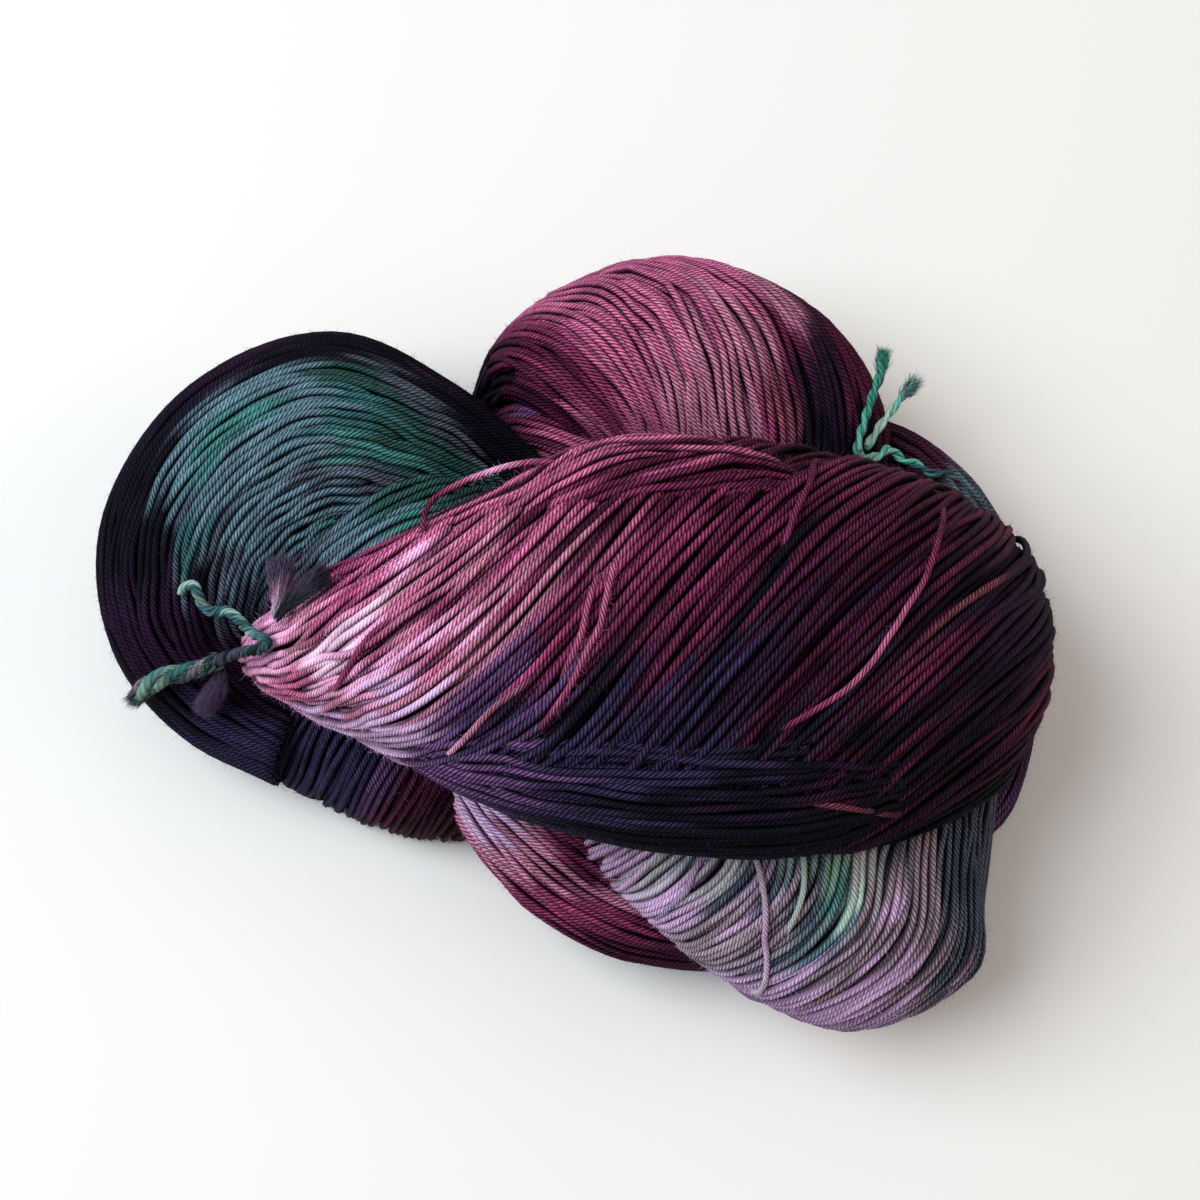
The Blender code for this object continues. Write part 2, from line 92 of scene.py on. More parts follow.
# The bundles: how lively the strands lie, the sections and the dyes. A section is its middle x, y, z, the
# yarn's heading and pitch there, half width, half height, and how far the strands have turned by then. After
# each dye come its patches: hundredths of the way along the bundle, and thousandths of the way round it.
# "clear" keeps only the strands that come up to that depth somewhere.
BUNDLES = {
    "crown": bundle(1.0, """
    -56.5 -7 21 -5 30 3 4 0; -48.5 -8.5 28 0 24 8 10 -15; -37.5 -10 36 3 16 13 15 -38;
    -24 -11 44 3 9 19.5 19 -68; -6 -10.5 48.5 2 3 26.5 21.5 -112; 13 -10.5 50 0 0 30.5 22.5 -167;
    32.5 -11.5 47.5 -4 -8 30 22 -228; 46.5 -11.5 40 -9 -32 27.5 20 -284; 55.5 -10.5 27 -13 -65 24 16 -328;
    56.5 -8.5 11 -15 -90 18 9 -346
    """, """
    pink 14 321, 28 429, 28 467, 33 342, 37 492, 33 471; mauve 18 325, 32 383, 40 433, 35 442, 40 483, 41 529,
    34 525, 25 492; blush 21 379, 26 383, 24 404; rose 22 342, 18 429, 31 429, 29 308, 28 338, 36 396, 38 367,
    42 388, 43 467, 46 500, 49 575, 45 546, 35 492; berry 26 325, 37 442, 43 521, 41 471, 45 571, 45 604,
    48 621, 50 600, 55 646, 52 633; plum 35 346, 45 425, 48 467, 53 550, 56 600, 44 579, 52 588, 56 696,
    52 650, 56 742, 52 700, 59 671, 63 721, 66 738, 70 783, 77 908, 62 771, 59 725, 69 879, 74 992, 70 988,
    71 942, 84 162; maroon 48 517, 59 646, 47 542, 73 833, 69 821, 66 804, 62 867, 66 904, 69 929, 73 50,
    65 988, 75 133, 70 88; lilac 31 479, 21 508, 28 533, 31 583, 30 617; violet 36 567, 38 567, 41 575,
    45 638, 43 646, 36 621, 32 633; ink 48 671, 48 829, 56 904, 59 758, 72 929, 75 54, 68 988, 69 33, 77 129,
    72 117, 69 88, 64 33, 60 912, 82 275, 72 933, 74 942; navy 40 621, 38 667, 44 692, 48 721, 52 738, 56 792,
    56 842, 50 796, 45 746, 63 925; aubergine 77 971, 73 904, 62 821, 67 867, 59 821, 77 8, 79 75, 81 154,
    76 996, 80 50, 78 67; rosewood 70 954
    """),
    "left_turn": bundle(0.5, """
    -3.5 15 14 138 20 8 8.5 0; -17 19 18 146 12 11 13 0; -29 23.5 21.5 160 5 15 19 0;
    -43 26 22 182 0 20 22.5 0; -55.5 20.5 21 214 0 20.6 21.5 0; -64 10 19 250 -3 18.3 19.5 0;
    -66 -2 16 281 -6 14.7 16.5 0; -61 -12 12.5 314 -6 11 13 0; -50 -19 11 335 0 9 11.5 0
    """, """
    aubergine 25 379, 43 400, 47 400, 52 375, 71 375, 76 379, 45 371, 71 262, 74 296, 76 221, 77 317, 79 229,
    85 192, 90 242, 87 262; ink 28 392, 33 388, 38 388, 55 379, 60 362, 65 358, 82 379, 58 342, 62 321,
    65 296, 69 271, 54 362, 49 379, 40 346, 36 346, 31 388, 26 354, 23 346, 20 329, 18 312, 70 221;
    slate 30 329, 64 254, 68 233, 26 308, 23 279, 62 196, 26 175, 72 171, 36 188; pine 35 312, 30 300, 28 250,
    18 250, 25 238; steel 41 312, 45 317, 49 317, 53 312, 56 296, 60 275, 40 292, 40 250, 48 250, 55 238,
    47 204, 41 212, 43 162, 33 150, 54 175, 44 150, 50 121, 67 150, 54 154; green 46 296, 50 304, 54 288,
    59 271, 33 212, 29 217, 33 112; teal 64 242, 35 288, 34 250, 24 221; navy 88 325, 93 329, 99 329, 100 454
    """),
    "top_turn": bundle(0.7, """
    -20.5 37.5 12 40 12 2 4 0; -13.5 40.5 17 18 9 8 13 25; -4 41.5 20 6 5 13.3 18.5 70;
    6 42.5 22 -10 2 16.3 21.5 110; 16.5 40 22.5 -30 0 18 23 140; 25 34.5 21.5 -53 -3 18.8 22 160;
    30 26.5 20 -74 -7 18.4 20 170; 31 17.5 17.5 -95 -10 16.5 17 175
    """, """
    ink 4 212, 87 679, 86 746, 8 288; plum 15 179, 77 675, 82 667, 24 112, 72 758, 23 362; berry 23 75,
    26 142, 82 812, 36 112; rose 28 992, 36 925, 44 846, 51 788, 58 767, 36 992, 41 992, 50 967, 43 921,
    53 858, 53 8, 41 58, 33 175; mauve 65 725, 59 933, 61 817, 59 879, 72 858, 66 796, 82 842;
    aubergine 72 704, 78 754, 82 725; maroon 18 262, 18 371; rosewood 79 783; violet 7 412
    """),
    "right_foot": bundle(0.7, """
    41.5 -25 22 -100 0 22 15 0; 35 -37 21.5 -108 0 26.5 20 -5; 31.6 -44.8 23.2 -116 -13 29.5 16.5 -11;
    19 -47.4 19.2 -126 -42 30.3 12 -24; 11.9 -43.4 10.9 -132 -66 28.5 7 -33;
    11.3 -41.8 4 -135 -80 27.5 3.5 -36; 11.5 -40.8 -3 -136 -86 27 3 -36
    """, """
    lilac 48 442, 43 433, 40 392, 43 350, 50 371, 36 312, 43 221, 43 171, 41 142, 47 138, 42 108, 54 233,
    50 212, 30 188; silver 41 417, 34 392, 35 367, 24 233, 20 217; steel 36 392, 38 233; slate 34 342, 28 308,
    28 279, 31 267, 19 196, 19 129, 13 121, 16 71, 25 67, 31 100; mushroom 39 308, 45 308, 48 308, 38 275,
    27 221, 22 200, 24 175, 20 158, 30 154, 35 108, 36 188, 38 129; mint 24 292, 31 238; sage 24 262;
    green 28 250
    """),
    "lower_turn": bundle(0.7, """
    -20 -19 12 -62 0 9 11 0; -12.5 -29.5 12.5 -55 0 11.7 13 0; -2.5 -38.5 12.5 -40 0 12.6 13 0;
    9 -44.5 12 -22 0 12.2 12.5 0; 22 -47.5 11 -10 0 10 11 0
    """, """
    lilac 19 354, 28 371; mauve 37 388, 38 333, 45 333, 36 442, 61 300; berry 46 450, 54 362, 57 458, 69 342;
    plum 50 283, 75 346; maroon 69 454, 81 425, 89 375
    """),
    "rolled_edge": bundle(0.7, """
    -28.5 -6.5 12 240 10 20 9 0; -37.5 -16.5 14 242 -15 25 10 0; -42 -21.5 9 243 -60 26 9 0;
    -44 -22 3 243 -82 26 8.5 0; -43.5 -21.5 -3 243 -88 25 8.5 0
    """, """
    navy 36 250, 42 212, 55 242, 48 283; violet 43 179; plum 55 125, 49 88, 57 50, 33 125; maroon 34 92, 47 38
    """),
    "back_run": bundle(0.7, """
    42.5 29 13 -20 0 7 10 0; 50.5 21.5 14 -45 0 9.5 14.5 0; 57.5 10 14 -68 0 11 14.5 0;
    61 -10 13 -92 0 11 13.5 0; 57 -27.5 12 -112 0 11 12.5 0; 47 -34.5 10 -140 0 9 11 0
    """, """
    maroon 9 179, 17 196, 23 188; aubergine 14 217, 74 188, 65 200, 69 183, 56 196; steel 32 175;
    slate 36 158, 45 183; violet 80 179, 88 129
    """),
    "crest": bundle(1.0, """
    -49.5 -5 33.5 35 25 3 3 0; -40 -2 41 32 15 4.5 4.5 -10; -25.3 1.8 52 28 9 4.2 5 -30;
    -11.5 5.8 58 22 4 5.4 5.5 -55; 0 9 62.5 12 0 7 5.5 -85; 11.5 9.5 63 -2 -3 7 5.5 -115;
    22 8.5 62 -10 -8 6 5 -150; 31 7 58 -14 -25 4 4 -185
    """, """
    rose 52 296, 58 358, 65 358, 70 400, 77 450, 44 258, 36 238; plum 82 504, 91 567, 61 458, 74 542;
    berry 20 171
    """),
    "left_inner": bundle(0.6, """
    -54.5 -5 13 52 15 4 6 0; -48 1 18 42 10 9 13 0; -38 8 21.5 33 5 12 17 0; -27 14 22.5 28 0 12 17 0;
    -15 17.5 18.5 28 -5 9 12.5 0; -5 21 13.5 30 -8 6 8 0
    """, """
    violet 20 250; slate 28 238, 35 317; steel 36 258, 46 271; green 54 267; pine 58 250, 64 283, 72 254;
    ink 84 208
    """),
    "inner_run": bundle(0.7, """
    -45 -13 11 10 0 12 11.5 0; -21.5 -6.5 12 6 0 21 12.8 0; 6.5 0 13 0 0 26 13.8 0; 33.5 2 13 -8 0 23 13.8 0;
    53.5 -3 12 -14 0 14 12.5 0
    """, """
    navy 45 238; aubergine 74 258; violet 14 229; maroon 94 304
    """),
    "corner": bundle(0.7, """
    -17 34.5 8 -38 14 2.5 3 0; -15.5 33.5 12 -38 10 6 8.5 -10; -12.5 31.5 13.5 -36 4 8.5 11 -25;
    -4 26 14 -34 0 9 11.5 -40; 5 20.5 13 -32 -4 9 11 -55
    """, """
    plum 31 304, 57 333, 40 329; maroon 32 288, 55 354; violet 47 312; berry 65 354; rose 70 362
    """),
    "fan": bundle(0.5, """
    -28.2 -21 43.4 -5 24.8 6 6 0; -18.7 -21.8 47.8 -7.1 17.8 11 11 -5; -5.6 -23.8 50.7 -7.1 8.4 14 14 -10;
    9.3 -25.3 51.9 -4 1.5 16 16 -15; 24.6 -25.9 51.4 -1.8 -4.8 16 16 -20; 35.2 -26.1 49.7 -2.8 -9.8 14 14 -25;
    41.5 -26.8 48.5 -2.3 -19.3 10 10 -30; 47.5 -26.6 45.4 1.3 -27.4 6 6 -35
    """, """
    violet 4 425, 11 408, 21 388; ink 70 333, 80 375, 76 471, 41 471, 43 417, 47 450, 47 392, 55 467, 59 400,
    60 454, 68 433, 70 492, 73 371, 82 504, 97 479, 99 417, 56 367; rosewood 92 308; navy 36 450, 95 488,
    99 350, 49 367, 41 388; aubergine 53 429, 64 375, 77 429, 99 346; maroon 89 362, 66 404, 78 329
    """, clear=-0.35),
}

# Loose strands that lie over the others: their dyes from end to end, and the points that each runs through.
LOOSE_STRANDS = (
    ("rose plum berry rose pink rose berry plum", """
    -26.1 4.4 58.8; -25.8 7 57.6; -24.8 9.2 56.6; -22.9 10.7 56.6; -20 12 57.8; -16.6 12.9 59.2;
    -13.2 13.6 60.6; -10 13.8 61.8; -6.2 13.7 64.1
    """),
    ("violet plum berry rose rose berry ink", """
    50.3 9.2 56.9; 48 2 63.1; 45.4 -4.3 65.7; 42.2 -8.9 68.2; 39.9 -12.8 69.1; 37.2 -16.8 69.2;
    33.4 -20.8 69.3; 28.8 -23.8 69.5; 23.9 -27 69.1
    """),
    ("rose rose plum", """
    2.5 -1.7 71.4; 1 -7.2 72.7; 0.2 -12.2 72.6; -1.8 -15.7 71.5; -3.9 -19.8 69.9; -6.3 -23.3 68.3;
    -8.8 -25.7 66.4
    """),
    ("berry rose plum", "-0.5 -4.9 71.7; -1.9 -9.9 72.3; -2.7 -14.5 71.9; -4.5 -17.6 70.6; -5.4 -20.7 69.3"),
    ("plum mauve pink", """
    -9.9 -20.1 69.2; -13.4 -21.8 67.5; -16.2 -24.3 65; -18.7 -26.6 61.7; -22.3 -28.7 55.9
    """),
    ("rose berry rose", """
    -29.9 -9.2 61.8; -33 -11.8 59.6; -34.7 -13.6 57.7; -36.7 -15.9 55.5; -39.8 -18.6 50.1
    """),
    ("plum berry", "31.4 15.5 60.6; 29.5 9.4 65.9; 27.2 5 69.3; 25.9 -0.1 71"),
    ("maroon rosewood maroon", "24.5 -34.8 64.2; 33.1 -36.1 61.9; 37.7 -36.3 58.6; 42.7 -37 55.7"),
    ("silver lilac silver", """
    22.5 -40.3 40.4; 23.8 -44.6 39.9; 24.5 -50.2 38; 24.5 -53.7 35.6; 24.9 -56.6 33.3; 24.6 -60.6 29.2;
    22.7 -61.7 25.5
    """),
    ("mint silver", "29.6 -40.5 42.2; 30.1 -44.7 41.8; 29.1 -49.2 39.6; 27.3 -53 36.6"),
    ("lilac steel", "14.4 -40.8 37.4; 13.2 -45.4 35.3; 10.3 -48.3 31.3; 7.6 -50.5 25.4"),
)

# The ties and the loose yarn ends, as in the part's source.
TIE_LEFT = """
    -64.8 -0.4 36.2; -64 0.6 37.2; -62.6 0.6 37.5; -61.9 -0.9 37; -61.1 -2.5 36.6; -59.5 -3.3 36.6;
    -57.4 -3.3 37.2; -55.5 -4.7 38.2; -53.4 -6.8 39.8; -51.8 -8 41.5; -50.3 -8.9 43.1; -49.9 -9.9 43.7;
    -51.5 -10.3 42.2; -53.8 -10 39.6; -57.5 -10.3 36.2; -61.8 -11.3 33; -65.3 -11.9 30.9; -68.9 -12.3 29;
    -71.4 -13.3 27.4; -74.1 -15.3 25.6
"""
TIE_RIGHT = """
    57.3 20.3 29; 55.2 20.8 30.2; 52.9 20.5 31.2; 50.7 21.9 31.4; 48.5 22.3 32; 47.1 23.3 32.8;
    45.7 23.7 33.8; 43.9 22.2 35; 42 21.5 36.4; 40.5 21.9 37.8; 40.3 23.2 38.8; 41.6 27.3 37.7;
    43.2 31.9 36.6; 44.5 35.3 36.3; 45 38.2 36.2
"""
TIE_RIGHT_END = "41.9 23.1 36.8; 43.9 26.4 35.2; 46.5 30.1 34.4; 48.5 32.6 34; 50.1 34.5 33.8"
YARN_END_HANGING = "-58.8 -11.5 32.4; -59.6 -13 30.4; -61 -15 28.6; -62.6 -17.1 27"
YARN_END_UPRIGHT = "-48.7 -6 45.4; -48.4 -2.8 43.4; -48.6 0.8 40.8; -49.3 4.2 39.2"
YARN_END_DARK = "-48.6 -6.6 45.2; -46.6 -4.4 46.4; -43.4 -2.2 48.6; -40.4 -0.4 50.6"

# The rings of many strands, end to end. "first" marks a strand's first ring.
Rings = namedtuple("Rings", "middle along out wide tall run dye first")

# The dyes of the yarn and of the ties, as linear colours.
DYES = """
    ink 0.0034 0.0028 0.0078; navy 0.019 0.0135 0.043; aubergine 0.0125 0.004 0.017;
    maroon 0.032 0.0036 0.0165; plum 0.068 0.007 0.031; berry 0.145 0.0165 0.064; rose 0.315 0.064 0.155;
    pink 0.74 0.31 0.55; blush 0.9 0.58 0.78; lilac 0.5 0.31 0.53; violet 0.078 0.033 0.102;
    mauve 0.32 0.108 0.185; mushroom 0.235 0.165 0.21; rosewood 0.13 0.03 0.052; sage 0.17 0.28 0.22;
    dusk 0.075 0.063 0.12; steel 0.08 0.14 0.185; slate 0.05 0.06 0.09; teal 0.025 0.088 0.1;
    green 0.038 0.142 0.14; pine 0.015 0.05 0.045; mint 0.38 0.55 0.48; silver 0.42 0.41 0.44;
    emerald 0.03 0.25 0.16; jade 0.1 0.42 0.34
"""


def length_property(label, words, default, lowest=0.0001):
    """A size in metres, shown in the sidebar."""
    return bpy.props.FloatProperty(
        name=label, description=words, default=default, min=lowest, unit="LENGTH", precision=5
    )


def colour_property(name, *colour):
    """A dye's colour, shown in the sidebar."""
    return bpy.props.FloatVectorProperty(
        name=name.title(), description="Linear colour of the dye " + name, size=3,
        default=[float(n) for n in colour], min=0.0, max=1.0, subtype="COLOR",
    )


class YarnSizes(bpy.types.PropertyGroup):
    """How thick the yarn is and how it lies in the hank."""

    thickness: length_property("Yarn thickness", "Width of one strand across its plies", 0.00125)
    spacing: length_property("Strand spacing", "From one strand's middle to the next one's", 0.00134)
    inset: length_property("Inset", "From the bundle's outside in to the strands' middles", 0.0006)
    sink: length_property("Sink", "How far a strand goes under where its bundle gets thin", 0.0016)
    step: length_property("Ring step", "From one ring of a strand to the next", 0.0022)
    looseness: length_property("Looseness", "How far the strands stray in and out", 0.0002)
    ply_step: length_property("Ply step", "From one ply mark to the next along a strand", 0.0008)
    layer_depth: length_property("Layer depth", "From the outer strands down to the layer under them", 0.001)
    core_depth: length_property("Core depth", "From the bundle's outside in to the dark core", 0.0022)
    crossing: bpy.props.FloatProperty(
        name="Crossing strands", description="Share of the strands that ride over others",
        default=0.08, min=0.0, max=1.0, subtype="FACTOR",
    )
    sides: bpy.props.IntProperty(name="Sides", description="Faces round a strand", default=6, min=4, max=12)


class FuzzSizes(bpy.types.PropertyGroup):
    """The fine fibres that stand off the yarn."""

    count: bpy.props.IntProperty(name="Fibres", description="How many fibres", default=14000, min=0)
    longest: length_property("Longest", "The longest fibre", 0.0022)
    thickness: length_property("Thickness", "Width of a fibre at its foot", 0.000055, 0.00001)


class TieSizes(bpy.types.PropertyGroup):
    """The two ties and the loose yarn ends."""

    left_thickness: length_property("Left tie", "Width of the left tie", 0.0018)
    right_thickness: length_property("Right tie", "Width of the right tie", 0.0012)
    hanging_thickness: length_property("Hanging end", "Width of the hanging yarn end", 0.0022)
    upright_thickness: length_property("Upright end", "Width of the upright yarn end", 0.0026)


class YarnDyes(bpy.types.PropertyGroup):
    """The dyes of the yarn and of the ties."""

    __annotations__ = {row.split()[0]: colour_property(*row.split()) for row in DYES.split(";")}


def dye_rows(names):
    """The colours of the named dyes, one to a row."""
    dyes = bpy.context.scene.yarn_dyes
    return np.array([getattr(dyes, name)[:] for name in names])


def numbers(text):
    """The points of a table's text, in millimetres from the middle of the base."""
    return table(text) + TABLE_AT


def smooth(rows, t):
    """The rows at the places t, on a smooth curve through them."""
    ext = np.vstack([2 * rows[0] - rows[1], rows, 2 * rows[-1] - rows[-2]])
    i = np.minimum(t.astype(int), len(rows) - 2)
    u = (t - i)[:, None]
    a, b, c, d = (ext[i + k] for k in range(4))
    return 0.5 * (2 * b + (c - a) * u + (2 * a - 5 * b + 4 * c - d) * u**2 + (3 * b - a - 3 * c + d) * u**3)


def between(at, places, rows):
    """The rows at given places, straight between the ones that there are."""
    return np.stack([np.interp(at, places, column) for column in rows.T], axis=1)


def total(steps):
    """The running total of steps, from nought."""
    return np.concatenate([0 * steps[:1], np.cumsum(steps, axis=0)])


def length_along(points):
    """How far along a line, or along each of many, its points are."""
    return total(np.linalg.norm(np.diff(points, axis=0), axis=-1))


def route(points, step):
    """Points every step millimetres on a smooth curve through the given ones."""
    fine = smooth(points, np.linspace(0, len(points) - 1, 24 * len(points)))
    run = length_along(fine)
    return between(np.linspace(0, run[-1], max(3, round(run[-1] / step) + 1)), run, fine)


def unit(v):
    """Vectors at length one."""
    return v / np.maximum(np.linalg.norm(v, axis=-1, keepdims=True), 1e-9)


def across(v, along):
    """The part of v that is square to the line, at length one."""
    return unit(v - (v * along).sum(-1, keepdims=True) * along)


def moved(at, wide, side, tall, up):
    """Points moved by wide towards side and by tall towards up."""
    return at + wide[..., None] * side + tall[..., None] * up


def carried(points):
    """The line's direction at each point, and a side that it carries along without turning round it."""
    along = unit(np.gradient(points, axis=0))
    side = np.empty_like(points)
    last = np.array((0.0, 0.0, 1.0))
    for k, direction in enumerate(along):
        last = across(last, direction)
        side[k] = last
    return along, side


def section_axes(s):
    """Each section's middle, and its two ways across."""
    heading = np.radians(s[:, 3])
    pitch = np.radians(s[:, 4])
    side = np.stack([-np.sin(heading), np.cos(heading), 0 * heading], axis=1)
    up = np.stack([-np.sin(pitch) * np.cos(heading), -np.sin(pitch) * np.sin(heading), np.cos(pitch)], axis=1)
    return s[:, :3] + TABLE_AT, side, up


def ring_places(sections, step):
    """Where the rings go along a bundle, about one every step at its outside, and how far each is."""
    t = np.linspace(0, len(sections) - 1, 30 * len(sections))
    s = smooth(sections, t)
    middle, side, up = section_axes(s)
    angle = np.linspace(0, 2 * np.pi, 17)
    wide = s[:, 5, None] * np.cos(angle)
    tall = s[:, 6, None] * np.sin(angle)
    edge = moved(middle[:, None], wide, side[:, None], tall, up[:, None])
    steps = np.linalg.norm(np.diff(edge, axis=0), axis=2)
    run = total(0.5 * (steps.max(axis=1) + steps.mean(axis=1)))
    even = np.linspace(0, run[-1], round(run[-1] / step) + 1)
    return np.interp(even, run, t), even


def dye_at(bundle, u, share, length, girth):
    """The dye at places along a bundle and round it, from the patches near each."""
    du = (u[:, None] - bundle.places[:, 0]) * length * 0.55
    ds = (share[:, None] - bundle.places[:, 1] + 0.5) % 1.0 - 0.5
    near = (du**2 + (ds * girth[:, None]) ** 2 + 0.8) ** -3.0
    return (near @ np.sqrt(dye_rows(bundle.dyes)) / near.sum(axis=1, keepdims=True)) ** 2


def wander(run, count, lengths, rng):
    """Smooth random offsets of about one along each of many strands."""
    out = np.zeros((len(run), count))
    for length in lengths:
        wave = length * rng.uniform(0.75, 1.3, count)
        out += np.sin(2 * np.pi * run[:, None] / wave + rng.uniform(0, 6.3, count))
    return out / math.sqrt(0.5 * len(lengths))


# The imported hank's surface, to find how deep a point lies in it.
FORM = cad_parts["hank"].data
HANK = BVHTree.FromPolygons([v.co[:] for v in FORM.vertices], [p.vertices[:] for p in FORM.polygons])


def depth_in_hank(points):
    """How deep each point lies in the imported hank, in millimetres; negative outside."""
    out = np.empty(len(points))
    for k, point in enumerate(points * MM):
        at = Vector(point)
        near, normal, _, distance = HANK.find_nearest(at)
        out[k] = math.copysign(distance / MM, (near - at).dot(normal))
    return out


def wind(bundle, seed, under=False):
    """The rings of all of a bundle's strands that show, or of the layer of strands under them."""
    sizes = bpy.context.scene.yarn_sizes
    rng = np.random.default_rng(seed)
    t, run = ring_places(bundle.sections, sizes.step / MM * (1.7 if under else 1.0))
    s = smooth(bundle.sections, t)
    middle, side, up = section_axes(s)
    turned_by = s[:, 7] / 360

    # The way round each section, by angle.
    angle = np.linspace(0, 2 * np.pi, 145)
    edge = np.hypot(s[:, 5, None] * np.sin(angle), s[:, 6, None] * np.cos(angle))
    arc = total(0.5 * (edge[:, 1:] + edge[:, :-1]).T).T
    girth = arc[:, -1] * (angle[1] - angle[0])

    # Where there is no room for all, the strands sink one after another, and the others share the room.
    room = girth / np.hypot(1.0, girth * np.gradient(turned_by, run)) / (sizes.spacing / MM)
    count = round(room.max())
    rank = (np.arange(count) * GOLDEN) % 1.0
    shown = np.clip((room[:, None] / count - rank) / 0.06 + 0.5, 0.0, 1.0)
    share = (np.cumsum(shown, axis=1) - shown / 2) / shown.sum(axis=1, keepdims=True)

    # The strands stray in and out and sideways, gather in folds, and some cross over the others.
    loose = sizes.looseness / MM * bundle.lively * (0.5 if under else 1.0)
    inset = (sizes.inset + (sizes.layer_depth if under else 0.0)) / MM
    inwards = inset + sizes.sink / MM * (1 - shown)
    inwards = inwards + loose * wander(run, count, (19, 43, 101), rng) + loose * rng.normal(size=count)
    drift = 0.35 * bundle.lively * wander(run, count, (24, 57), rng) + (0.75 if under else 0.0)
    for width, gather in FOLDS:
        folds = round(girth.max() / width)
        sway = 1.6 * wander(run, 1, (70, 120), rng) + rng.uniform(0, 6)
        draw = gather * bundle.lively * (girth / girth.max())[:, None] ** 2
        drift = drift + draw * np.sin(2 * np.pi * share * folds + sway)
    if not under:
        over = np.flatnonzero(rng.random(count) < sizes.crossing * bundle.lively**2)
        drift[:, over] += rng.uniform(0.8, 2.4, len(over)) * wander(run, len(over), (75, 140), rng)
        inwards[:, over] -= np.clip(0.35 + 0.6 * wander(run, len(over), (34, 70), rng), -1.0, 0.6)
    inwards = np.maximum(inwards, inset - HIGHEST)

    # Each ring's middle, and whether it shows.
    place = (share + turned_by[:, None] + drift / girth[:, None]) % 1.0
    turned = np.stack([np.interp(place[k], arc[k] / arc[k, -1], angle) for k in range(len(t))])
    wide = np.maximum(s[:, 5, None] - inwards, 0.3) * np.cos(turned)
    tall = np.maximum(s[:, 6, None] - inwards, 0.3) * np.sin(turned)
    centre = moved(middle[:, None], wide, side[:, None], tall, up[:, None])
    half = 0.5 * sizes.thickness / MM
    kept = (shown > 0.03) & (centre[..., 2] > LOWEST)
    centre[..., 2] = np.maximum(centre[..., 2], 0.95 * half)
    along = unit(np.gradient(centre, axis=0))
    out = across(centre - middle[:, None], along)
    deep = np.full(kept.shape, 99.0)
    deep[kept] = depth_in_hank(centre[kept])
    kept &= (deep < inset + DEEPEST) & (np.where(kept, deep, 99.0).min(axis=0) < inset + bundle.clear)

    # The dyes, shifted a little from strand to strand.
    u = (t / (len(bundle.sections) - 1))[:, None] + rng.normal(0, 3.2, count) / run[-1]
    dye_share = share + rng.normal(0, 0.8, count) / girth[:, None]
    dye = np.ones((*kept.shape, 3))
    girths = np.broadcast_to(girth[:, None], kept.shape)[kept]
    dye[kept] = dye_at(bundle, u[kept], dye_share[kept], run[-1], girths)
    strength = 0.13 * rng.normal(size=count) + 0.16 * wander(run, count, (15, 38), rng)
    dye *= np.exp(bundle.lively * strength)[..., None]
    length = length_along(centre) + rng.uniform(0, 5, count)

    # Strand by strand, without the rings that stand alone.
    order = kept.T
    padded = np.pad(order, ((0, 0), (1, 1)))
    order = order & (padded[:, :-2] | padded[:, 2:])
    first = (order & ~np.pad(order, ((0, 0), (1, 0)))[:, :-1])[order]
    size = np.full(int(order.sum()), half)
    rows = (np.swapaxes(values, 0, 1)[order] for values in (centre, along, out, length, dye))
    middle, along, out, length, dye = rows
    return Rings(middle, along, out, size * 1.02, size * 0.95, length, dye, first)


def joined(parts):
    """Several sets of rings as one."""
    return Rings(*(np.concatenate(values) for values in zip(*parts)))


def cord_rings(points, half, dye, start=0.0, shape=1.0):
    """The rings of one strand along a line. Its dye changes along it, and shape scales it ring by ring."""
    along, side = carried(points)
    colour = between(np.linspace(0, len(dye) - 1, len(points)), np.arange(len(dye)), dye)
    size = half * shape * np.ones(len(points))
    first = np.arange(len(points)) == 0
    return Rings(points, along, side, size, size, start + length_along(points), colour, first)


def new_piece(name, points, corners, starts, dye):
    """A piece from its points, its faces' corners, where each face starts in them, and the points' dyes."""
    mesh = bpy.data.meshes.new(name)
    mesh.vertices.add(len(points))
    mesh.vertices.foreach_set("co", (points * MM).reshape(-1))
    mesh.loops.add(len(corners))
    mesh.loops.foreach_set("vertex_index", corners.astype(np.int32))
    mesh.polygons.add(len(starts))
    mesh.polygons.foreach_set("loop_start", starts.astype(np.int32))
    mesh.polygons.foreach_set("use_smooth", np.ones(len(starts), bool))
    opaque = np.concatenate([dye, np.ones((len(dye), 1))], axis=1)
    colours = mesh.color_attributes.new(name="dye", type="FLOAT_COLOR", domain="POINT")
    colours.data.foreach_set("color", opaque.astype(np.float32).reshape(-1))
    mesh.update()
    piece = bpy.data.objects.new(name, mesh)
    bpy.context.scene.collection.objects.link(piece)
    return piece


